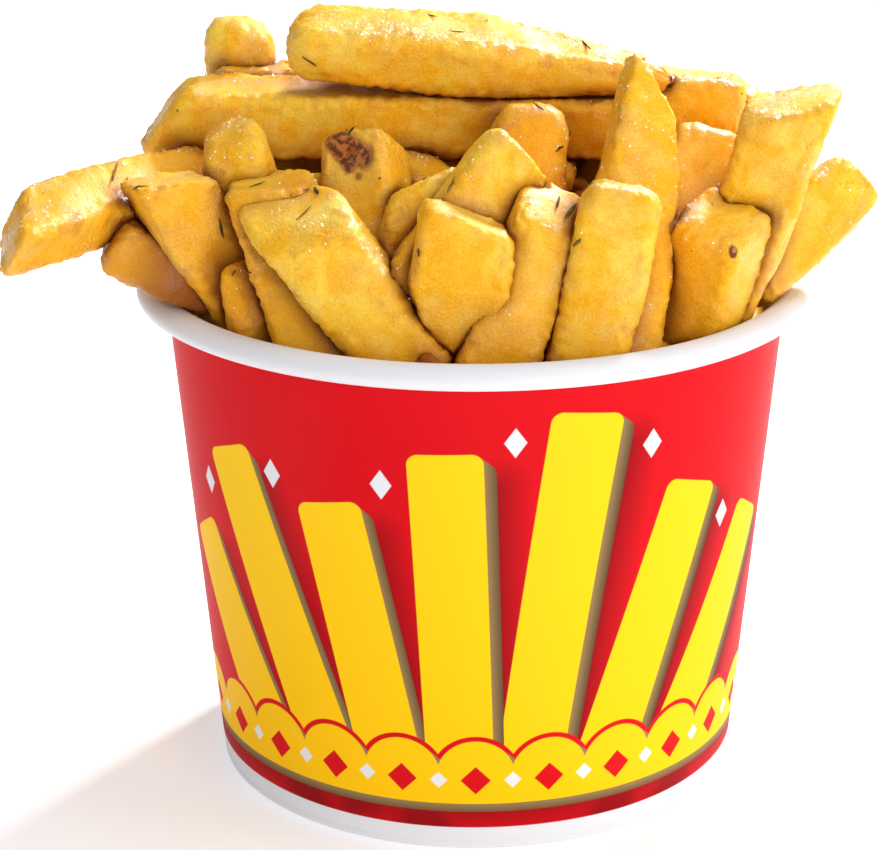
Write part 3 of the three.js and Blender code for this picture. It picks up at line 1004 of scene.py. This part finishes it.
packed_ends = []
for ring, (radius, count) in enumerate(packed_rings):
    for place in range(count):
        index = 31 * ring + place
        free = radius < outer_ring
        turn = 2 * math.pi * (place + 0.3 * uneven(index, 1)) / count + 0.4 * ring
        out = radius + 1.5 * uneven(index, 2) * free
        lean = out + 1.5 + 2 * uneven(index, 3) * free
        twist = turn + 0.15 * uneven(index, 4)
        height = heap_shoulder + (heap_top - heap_shoulder) * (1 - (out / heap_radius) ** 2)
        packed_ends.append(fry(
            (out * math.cos(turn), out * math.sin(turn), packed_foot),
            (lean * math.cos(twist), lean * math.sin(twist), height - 1.5 + 2.5 * uneven(index, 5)),
            12.3 + uneven(index, 6),
            11.6 + 0.8 * uneven(index, 7),
            turn=math.degrees(turn) - 90 + 12 * uneven(index, 8) * free,
            nose=2.6 + uneven(index, 9),
            cut=(2.5 * uneven(index, 10), 2.5 * uneven(index, 11)),
            # Painted shade: a high brown share paints the packed ends dark, as they lie deep in the gaps
            brown=0.85 + 0.15 * uneven(index, 12),
        ))
coarse = 1.15
add_fries("packed_ends", packed_ends, coarse, seed=1000)


# ---------------------------------------------------------------------------------------------
# Fries across the top
# Long sticks laid over the heap: the longest on top from right to left, the next one under it,
# and thinner strips behind them.
# ---------------------------------------------------------------------------------------------

fine = 0.5
add_fries("fries_on_top", [
    fry((33, 3, 118), (-31, 2, 125), 11.3, 13.5, turn=-20, foot_size=0.38, tip_size=0.8, nose=5, bow=0.6,
        corner=2.4),
    fry((29, 4, 111), (-53, 4, 112), 11, 12.5, turn=-8, tip_size=1, cut=(-4, 0), nose=3, brown=0),
    fry((-10, 15, 112), (-45, 15, 115), 9, 11, nose=3),
    fry((-21, 17, 102), (-54.5, 6.5, 108.5), 8, 11, cut=(-2, 0), nose=2, brown=0.3),
    fry((6, 8, 116), (45, 8, 113), 9.5, 12, nose=2),
    fry((12, 20, 116.5), (48.5, 16, 110.5), 7, 12, nose=2),
    fry((30, 26, 112), (-27, 24, 117), 12, 12, turn=10, nose=3, bow=1),
], fine, seed=100)


# ---------------------------------------------------------------------------------------------
# Fries at the left
# One long fry leans out over the rim, a brown one and a broad one prop it up, and rounder ends
# stand behind them.
# ---------------------------------------------------------------------------------------------

add_fries("fries_at_left", [
    fry((-39, 5, 101.5), (-72, -36.5, 102), 8.5, 12, turn=-28, foot_size=1, tip_size=1, nose=2, bow=1,
        cut=(-1, 5), brown=0.45),
    fry((-37, -21, 87.8), (-58.5, -24, 98), 10, 10.5, nose=3, brown=0.72),
    fry((-34.6, -19.7, 79), (-49.5, -25, 108), 12.5, 11, turn=28, nose=2, cut=(-3, 0), brown=0.35),
    fry((-29.5, -24, 82), (-40, -14, 113), 11, 10, nose=4, cut=(0, -4), corner=3, brown=0.2),
    fry((-38, 16, 88), (-41, 18, 126), 12, 11, nose=6, cut=(-1, 0), corner=3.2, brown=0),
    fry((-39, 7, 80), (-50, 12, 98), 12, 11, turn=70, nose=3, brown=0.3),
    fry((-40, -4, 80), (-46, -1, 93), 11, 11, nose=3, brown=0.5),
], fine, seed=200)


# ---------------------------------------------------------------------------------------------
# Fries at the front
# A row of broad fries standing just inside the rim, with the pale cut ends of others between.
# ---------------------------------------------------------------------------------------------

add_fries("fries_at_front", [
    fry((-32.5, -27.6, 79), (-34.3, -31.4, 93), 12, 8.5, turn=20, nose=3, cut=(0, -4), brown=0.35),
    fry((-22, -38, 79), (-33, -24, 107.5), 14, 11, nose=2, cut=(-2, -3), brown=0.3),
    fry((-7, -42, 79), (-28.5, -35, 105), 14, 13, nose=2.5, cut=(-4, -5), tip_size=1.05, corner=3.4),
    fry((-16, -31, 82), (-18, -12, 110.5), 13, 10.5, turn=-25, nose=2.5, cut=(-0.4, 1.8), brown=0.2),
    fry((-14, -34, 78), (-7, -24, 108), 12, 10, nose=3, cut=(4, 0), brown=0),
    fry((-14, -40, 87), (7, -26, 112), 13, 10, nose=2, cut=(-1, 0), brown=0),
    fry((-4, -42, 84), (-1, -40, 106), 15.5, 11, nose=3, foot_size=0.5, cut=(-2, 0), brown=0),
    fry((6, -22, 86), (9.3, -8, 116), 12.5, 12, nose=5, corner=3, brown=0.6),
    fry((1, -43, 79), (13, -35, 106), 13, 12, nose=2, cut=(0, -4), brown=0.25),
], fine, seed=300)


# ---------------------------------------------------------------------------------------------
# Fries at the right
# A tall pointed fry, a broad flat one that leans out over the rim, and the fries round them.
# ---------------------------------------------------------------------------------------------

add_fries("fries_at_right", [
    fry((16, -41, 80), (23, -37, 110), 13.5, 12, nose=4, tip_size=0.85, corner=2.4),
    fry((22, -36, 81), (28, -16, 121), 13.5, 10, turn=10, nose=1.5, cut=(-8, 0), tip_size=0.66, brown=0),
    fry((32, -27, 85), (38, -4, 110), 12, 11, nose=3, brown=0.15),
    fry((33, -26, 80), (39, -29, 103), 14, 12, turn=-33, nose=3, cut=(0, -3), brown=0.15),
    fry((38, -24.5, 80), (50.5, -21, 120), 12.6, 9, turn=-10, foot_size=0.6, nose=1.5, cut=(3, -2),
        tip_size=1.05, brown=0.05),
    fry((43, -18, 88.3), (63, -6, 103.7), 11, 11, turn=-10, nose=3),
    fry((38, -6, 82), (46, -6, 97), 11, 11, nose=3, brown=0.3),
    fry((0, -16, 84), (-4, -9, 104), 12, 12, nose=3),
    # Painted shade: this fry lies low in a gap, so its brown share is set high to paint it dark
    fry((22, -6, 84), (21, -4, 101), 12, 12, nose=3, brown=0.9),
    fry((-28, -10, 86), (-29, -6, 104), 12, 12, nose=3),
], fine, seed=400)


# ---------------------------------------------------------------------------------------------
# Fries at the back
# Sticks that lean over one another, and two uneven rows that stand round the back of the bucket.
# ---------------------------------------------------------------------------------------------

plain = 0.75


def standing_row(count, start, stop, foot, tip, seed, inward=0, rise=0, sway=9, spread=4):
    """A row of standing fries round part of the bucket; foot and tip are a radius and a height."""
    row = []
    for index in range(count):
        turn = start + (stop - start) * index / (count - 1)
        angle = math.radians(turn)
        lean = angle + math.radians(sway) * uneven(index, seed)
        top = tip[1] + rise * math.sin(angle) + spread * uneven(index, seed + 1)
        reach = tip[0] - inward / 2 * (1 + uneven(index, seed + 7))
        row.append(fry(
            (foot[0] * math.cos(angle), foot[0] * math.sin(angle), foot[1]),
            (reach * math.cos(lean), reach * math.sin(lean), top),
            13 + 1.2 * uneven(index, seed + 2),
            12 + uneven(index, seed + 3),
            turn=turn - 90,
            tip_size=0.93,
            nose=3 + 1.2 * uneven(index, seed + 4),
            cut=(3.5 * uneven(index, seed + 5), 2.5 * uneven(index, seed + 6)),
            corner=1.8 + 0.6 * uneven(index, seed + 8),
            brown=0.2 + 0.25 * uneven(index, seed + 9),
        ))
    return row


add_fries("fries_leaning_at_back", [
    fry((38, 24, 98), (6, 41, 111), 12, 12, turn=30, nose=3),
    fry((-6, 38, 99), (-40, 27, 110), 11.5, 12, turn=-20, nose=3, cut=(3, 0)),
    fry((-47, 24, 97), (-20, 47, 104), 12, 11, turn=20, nose=3, brown=0.3),
    fry((52, 10, 100), (40, 36, 104), 11.5, 12, turn=-10, nose=3, cut=(0, 3)),
    fry((8, 14, 104), (24, 38, 111), 11.5, 11, nose=3, cut=(2, 2), brown=0),
], fine, seed=500)
add_fries("fries_standing_at_back", [
    *standing_row(10, 6, 144, (39.5, 79), (50.5, 102), 4, inward=5, rise=7, spread=5),
    *standing_row(6, 28, 150, (25, 88), (37, 106), 26, inward=4, rise=5, spread=5),
    *standing_row(6, -160, -20, (20, 86), (25, 99), 3, sway=25),
    *standing_row(5, 0, 288, (8, 88), (12, 104), 9, sway=20),
], plain, seed=600)


# ---------------------------------------------------------------------------------------------
# Where fries touch
# Fries that lie on each other stay apart by a narrow groove. The creases between them are marked
# for painted shade, and the places where they touch for a thin painted shadow line.
# ---------------------------------------------------------------------------------------------

# In millimetres: the groove's reach and depth, how far the touch mark spreads, and how far the painted
# crease shade reaches and looks out from a face
groove_reach = 0.55
groove_depth = 0.45
touch_reach = 2.6
crease_reach = 3.8
crease_outlook = 1.8


def read_vectors(rows, name):
    """The vectors that a mesh holds under a name, one to a row."""
    values = np.empty(len(rows) * 3, np.float32)
    rows.foreach_get(name, values)
    return values.reshape(-1, 3)


def gap_to_fry(points, shape):
    """How far points in millimetres lie outside a fry, or inside it as less than 0."""
    foot, length, along, across, through = fry_directions(shape)
    away = points - foot
    reach = np.clip(away @ along / length, 0, 1)
    away[:, 2] -= shape["bow"] * 4 * reach * (1 - reach)
    place, side, rise = away @ along, away @ across, away @ through
    half_wide, half_thick = shape["wide"] / 2, shape["thick"] / 2
    end_size = np.where(reach >= 0.5, shape["tip_size"], shape["foot_size"])
    size = 1 + (end_size - 1) * np.abs(2 * reach - 1)
    slant = np.maximum(0, 2 * reach - 1) * (
        shape["cut"][0] * side / half_wide + shape["cut"][1] * rise / half_thick
    )
    past = np.stack([
        np.abs(side) - half_wide * size, np.abs(rise) - half_thick * size,
        np.maximum(-place, place - length - slant),
    ]) + shape["corner"]
    outside = np.linalg.norm(np.maximum(past, 0), axis=0)
    return outside + np.minimum(past.max(0), 0) - shape["corner"]


def press_together(piece):
    """Presses a groove into a piece's fries where they touch others, and marks the touching places
    and the creases there for painted shade.
    """
    mesh = piece.data
    points = read_vectors(mesh.vertices, "co")
    normals = read_vectors(mesh.vertex_normals, "vector")
    placed = (points - np.array(bucket_axis)) / MM
    gaps = np.full(len(points), touch_reach)
    gaps_ahead = np.full(len(points), crease_reach)
    own_fries = [(part, shape) for name, part, shape in lying_fries if name == piece.name]
    for part, own_shape in own_fries:
        own = placed[part]
        ahead = own + crease_outlook * normals[part]
        low, high = own.min(0) - crease_reach, own.max(0) + crease_reach
        for _, _, shape in lying_fries:
            ends = np.array([shape["foot"], shape["tip"]])
            room = max(shape["wide"], shape["thick"])
            far_off = (ends.max(0) + room < low).any() or (ends.min(0) - room > high).any()
            if shape is own_shape or far_off:
                continue
            gaps[part] = np.minimum(gaps[part], gap_to_fry(own, shape))
            gaps_ahead[part] = np.minimum(gaps_ahead[part], gap_to_fry(ahead, shape))
    push = groove_depth * np.clip(1 - gaps / groove_reach, 0, 1) ** 1.5 * MM
    mesh.vertices.foreach_set("co", (points - normals * push[:, None]).ravel())
    store_mark(mesh, "touch", np.clip(1 - gaps / touch_reach, 0, 1))
    store_mark(mesh, "crease", np.clip(1 - gaps_ahead / crease_reach, 0, 1))
    mesh.update()


fry_pieces = [bpy.data.objects[name] for name in dict.fromkeys(entry[0] for entry in lying_fries)]
for piece in fry_pieces:
    press_together(piece)


# ---------------------------------------------------------------------------------------------
# Marks of skin and frying
# A patch of skin left on the end of one fry, a burnt spot on another, and a dark hole where a
# bubble broke open in a third. They are part of the fries' surface.
# ---------------------------------------------------------------------------------------------

# A line between two pixels, how far a mark spreads from it in millimetres, and how strong it is
mark_pixels = (
    ((334, 136), (364, 158), 2.2, 1.0),
    ((330, 142), (350, 168), 1.2, 1.0),
    ((358, 176), (359, 177), 0.9, 0.8),
    ((707, 163), (703, 168), 1.2, 0.5),
    ((733, 250), (733, 254), 0.7, 1.2),
)


def heap_trees():
    """The surfaces of all the fries that show, to be searched."""
    ready = bpy.context.evaluated_depsgraph_get()
    return [BVHTree.FromObject(piece, ready) for piece in fry_pieces]


def first_hit(trees, start, direction):
    """The nearest place where a line meets the fries, and the way out of their surface there."""
    hits = [tree.ray_cast(start, direction) for tree in trees]
    hits = [hit for hit in hits if hit[0] is not None]
    return min(hits, key=lambda hit: hit[3])[:2] if hits else None


def seen_at(trees, pixel):
    """The place on the fries seen at a pixel of the picture, or else the next one below it."""
    for lower in range(0, 24, 2):
        across = (pixel[0] / picture_px[0] - 0.5 + camera_data.shift_x) * film_mm / lens_mm
        up = (picture_px[1] / 2 - pixel[1] - lower) / picture_px[0] * film_mm / lens_mm
        hit = first_hit(trees, camera.location, camera.matrix_world.to_3x3() @ Vector((across, up, -1)))
        if hit:
            return hit
    return None


shown_trees = heap_trees()
mark_lines = []
for first, last, reach, strength in mark_pixels:
    ends = [seen_at(shown_trees, pixel)[0] for pixel in (first, last)]
    mark_lines.append((np.array(ends[0]), np.array(ends[1]), reach * MM, strength))
for piece in fry_pieces:
    points = read_vectors(piece.data.vertices, "co")
    burnt = np.zeros(len(points))
    for first, last, reach, strength in mark_lines:
        line = last - first
        share = np.clip((points - first) @ line / (line @ line), 0, 1)
        away = np.linalg.norm(points - first - share[:, None] * line, axis=1)
        burnt = np.maximum(burnt, strength * np.clip(1 - away / reach / 2, 0, 1))
    store_mark(piece.data, "burnt", burnt)


# ---------------------------------------------------------------------------------------------
# Salt and crumbs
# Coarse grains of salt and crumbs of broken crust, thrown over the hot fries. They stick to the
# oil wherever a face looks up.
# ---------------------------------------------------------------------------------------------

least_upward = 0.2
most_touch = 0.6
patches_to_metre = 75.0
patch_sharpness = 7.0


def sprinkle_tree():
    """Sprinkles one kind of grain over the upper faces of a heap, thicker in some places."""
    tree, given, result = new_tree(
        "sprinkle",
        "GeometryNodeTree",
        {"Grain": "NodeSocketGeometry", "Heap": "NodeSocketCollection", "Number per Area": 30000.0,
         "Gathering": 0.5, "Smallest": 0.0002, "Largest": 0.0004, "Seed": "NodeSocketInt",
         "Coating": "NodeSocketMaterial"},
        {"Sprinkled": "NodeSocketGeometry"},
    )
    heap = add_node(tree, "GeometryNodeCollectionInfo", {"Collection": given["Heap"]}).outputs[0]
    heap = add_node(tree, "GeometryNodeRealizeInstances", {0: heap}).outputs[0]
    normal = add_node(tree, "GeometryNodeInputNormal").outputs[0]
    upward = split(tree, normal)[2]
    touch = stored(tree, "touch")
    looks_up = calc(tree, "GREATER_THAN", upward, least_upward)
    free = calc(tree, "MULTIPLY", looks_up, calc(tree, "LESS_THAN", touch, most_touch))
    past_gathering = calc(tree, "SUBTRACT", noise(tree, patches_to_metre, 2.0), given["Gathering"])
    share = calc(tree, "MULTIPLY", past_gathering, patch_sharpness, clamp=True)
    number = calc(tree, "MULTIPLY", calc(tree, "MULTIPLY", free, upward), share)
    density = calc(tree, "MULTIPLY", number, given["Number per Area"])
    inputs = {"Mesh": heap, "Density": density, "Seed": given["Seed"]}
    spots = add_node(tree, "GeometryNodeDistributePointsOnFaces", inputs).outputs[0]
    inputs = {2: given["Smallest"], 3: given["Largest"], 8: given["Seed"]}
    size = add_node(tree, "FunctionNodeRandomValue", inputs).outputs[1]
    inputs = {"Points": spots, "Instance": given["Grain"], "Scale": size}
    grains = add_node(tree, "GeometryNodeInstanceOnPoints", inputs).outputs[0]
    turn = add_node(
        tree, "FunctionNodeRandomValue", {0: (0, 0, 0), 1: (6.3, 6.3, 6.3), 8: given["Seed"]},
        data_type="FLOAT_VECTOR",
    ).outputs[0]
    inputs = {"Instances": grains, "Rotation": turn}
    grains = add_node(tree, "GeometryNodeRotateInstances", inputs).outputs[0]
    grains = add_node(tree, "GeometryNodeRealizeInstances", {0: grains}).outputs[0]
    inputs = {"Geometry": grains, "Material": given["Coating"]}
    coated = add_node(tree, "GeometryNodeSetMaterial", inputs).outputs[0]
    tree.links.new(coated, result["Sprinkled"])
    return tree


def faceted_mesh(name, points):
    """The closed solid with flat faces that some points span."""
    shape = bmesh.new()
    for point in points:
        shape.verts.new(point)
    hull = bmesh.ops.convex_hull(shape, input=shape.verts)
    left_over = hull["geom_interior"] + hull["geom_unused"]
    loose = {item for item in left_over if isinstance(item, bmesh.types.BMVert)}
    bmesh.ops.delete(shape, geom=list(loose), context="VERTS")
    bmesh.ops.recalc_face_normals(shape, faces=shape.faces)
    mesh = bpy.data.meshes.new(name)
    shape.to_mesh(mesh)
    shape.free()
    return mesh


def salt_grain():
    """A cube of salt with worn corners, about 2 across."""
    draw = np.random.default_rng(41)
    points = []
    for corner in range(8):
        signs = np.array([corner & 1, corner >> 1 & 1, corner >> 2]) * 2.0 - 1
        for axis in range(3):
            worn = np.ones(3)
            worn[axis] = 0.62
            points.append(signs * worn * (0.85, 0.75, 0.65) + draw.uniform(-0.07, 0.07, 3))
    return faceted_mesh("salt", points)


def crust_crumb():
    """A crumb of crust, a little flat and with uneven corners, about 2 across."""
    draw = np.random.default_rng(43)
    points = draw.normal(size=(22, 3))
    points /= np.linalg.norm(points, axis=1)[:, None]
    mesh = faceted_mesh("crumbs", points * (1, 0.8, 0.6) * draw.uniform(0.7, 1.05, (22, 1)))
    store_mark(mesh, "brown", np.full(len(mesh.vertices), 0.55))
    return mesh


salt_white, salt_nodes, salt_shader = new_material("salt_white")
salt_place = add_node(salt_nodes, "ShaderNodeTexCoord").outputs["Object"]
salt_clouds = noise(salt_nodes, 2500.0, 2.0, Vector=salt_place)
salt_colour = mix_colours(salt_nodes, salt_clouds, srgb(246, 240, 228), srgb(255, 255, 252))
salt_nodes.links.new(salt_colour, salt_shader.inputs["Base Color"])
salt_shader.inputs["Roughness"].default_value = 0.22
salt_shader.inputs["IOR"].default_value = 1.54

sprinkle = sprinkle_tree()
sprinkled_heap = bpy.data.collections.new("sprinkled_heap")
for piece in fry_pieces:
    if piece.name != "packed_ends":
        sprinkled_heap.objects.link(piece)
for grain, coating, number, gathering, smallest, largest, seed in (
    (salt_grain(), salt_white, 420000.0, 0.5, 0.06 * MM, 0.2 * MM, 7),
    (crust_crumb(), fried_potato, 9000.0, 0.4, 0.25 * MM, 0.65 * MM, 11),
):
    sprinkled = bpy.data.objects.new(grain.name, grain)
    bpy.context.scene.collection.objects.link(sprinkled)
    bake_nodes(sprinkled, sprinkle, {
        "Heap": sprinkled_heap, "Number per Area": number, "Gathering": gathering,
        "Smallest": smallest, "Largest": largest, "Seed": seed, "Coating": coating,
    })
    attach(sprinkled, "root")
    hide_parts("fries")
bpy.data.collections.remove(sprinkled_heap)


# ---------------------------------------------------------------------------------------------
# Herbs
# Slivers of dried rosemary and thyme, a few millimetres long and rolled up by drying, that lie on
# the fries where they fell.
# ---------------------------------------------------------------------------------------------

# A sliver's two ends as pixels, and its width as a share of a broad one's
herb_pixels = (
    ((117.5, 163), (111, 184), 0.6),
    ((314.5, 187), (319.5, 197), 0.8),
    ((559.5, 196), (555.5, 210), 0.55),
    ((577, 203), (564, 219), 0.8),
    ((581, 239), (574, 247), 0.8),
    ((582, 40), (590, 52), 0.6),
    ((428, 14.6), (437, 19), 0.5),
    ((219, 217), (222, 238), 0.6),
    ((418, 248), (421, 257), 0.7),
    ((236, 270), (232, 277), 0.5),
    ((246, 269), (254, 273), 0.5),
    ((455, 176), (449, 194), 0.6),
)
herb_width = 0.75 * MM
herb_curl = 0.5 * MM
herbs_elsewhere = 26
curl_elsewhere = 0.4 * MM
herb_stations = 9
herb_sides = 6


def herb_sliver(mesh, trees, first, last, width, curl):
    """Adds one sliver to a mesh in the making, laid on the fries from one place to another."""
    rings = []
    stations = []
    for step in range(herb_stations):
        place = first.lerp(last, step / (herb_stations - 1))
        nearest = min((tree.find_nearest(place) for tree in trees), key=lambda found: found[3])
        stations.append((nearest[0], nearest[1]))
    for step, (place, out) in enumerate(stations):
        share = step / (herb_stations - 1)
        ahead = stations[min(step + 1, herb_stations - 1)][0] - stations[max(step - 1, 0)][0]
        across = ahead.cross(out).normalized()
        size = (0.3 + 0.7 * math.sin(math.pi * share) ** 0.7) * width / 2
        lift = out * (0.35 * size + curl * share ** 2)
        ring = []
        for side in range(herb_sides):
            turn = 2 * math.pi * side / herb_sides
            around = across * (size * math.cos(turn)) + out * (0.55 * size * math.sin(turn))
            ring.append(mesh.verts.new(place + lift + around))
        rings.append(ring)
    for low, high in zip(rings, rings[1:]):
        for side in range(herb_sides):
            after = (side + 1) % herb_sides
            mesh.faces.new((low[side], low[after], high[after], high[side]))
    mesh.faces.new(rings[0][::-1])
    mesh.faces.new(rings[-1])


draw = np.random.default_rng(17)
herb_making = bmesh.new()
for first, last, width in herb_pixels:
    ends = [seen_at(shown_trees, pixel)[0] for pixel in (first, last)]
    herb_sliver(herb_making, shown_trees, *ends, width * herb_width, herb_curl)
for index in range(herbs_elsewhere):
    turn, height = draw.uniform(0, 2 * math.pi), draw.uniform(0.15, 1.3)
    level = math.cos(height)
    outward = Vector((math.cos(turn) * level, math.sin(turn) * level, math.sin(height)))
    aim = Vector((*draw.uniform(-0.04, 0.04, 2), draw.uniform(0.095, 0.115)))
    hit = first_hit(shown_trees, aim + outward * 0.3, -outward)
    if hit:
        lying = hit[1].orthogonal().normalized()
        lying.rotate(Quaternion(hit[1], draw.uniform(0, 2 * math.pi)))
        far_end = hit[0] + lying * draw.uniform(1.6, 4.2) * MM
        width = draw.uniform(0.3, 0.5) * MM
        herb_sliver(herb_making, shown_trees, hit[0], far_end, width, curl_elsewhere)
bmesh.ops.recalc_face_normals(herb_making, faces=herb_making.faces)
herb_mesh = bpy.data.meshes.new("herbs")
herb_making.to_mesh(herb_mesh)
herb_making.free()
herb_mesh.shade_smooth()

dried_leaf, leaf_tree, leaf_shader = new_material("dried_leaf")
leaf_place = add_node(leaf_tree, "ShaderNodeTexCoord").outputs["Object"]
leaf_clouds = noise(leaf_tree, 420.0, 4.0, Vector=leaf_place)
leaf_share = calc(leaf_tree, "MULTIPLY", calc(leaf_tree, "SUBTRACT", leaf_clouds, 0.38), 4.0, clamp=True)
leaf_colour = mix_colours(leaf_tree, leaf_share, srgb(56, 42, 14), srgb(138, 112, 44))
leaf_tree.links.new(leaf_colour, leaf_shader.inputs["Base Color"])
leaf_shader.inputs["Roughness"].default_value = 0.75
leaf_shader.inputs["Specular IOR Level"].default_value = 0.2
add_relief(leaf_tree, leaf_shader, leaf_clouds, 1.0, 0.1 * MM)
herb_mesh.materials.append(dried_leaf)
herbs = bpy.data.objects.new("herbs", herb_mesh)
bpy.context.scene.collection.objects.link(herbs)
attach(herbs, "root")
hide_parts("fries")
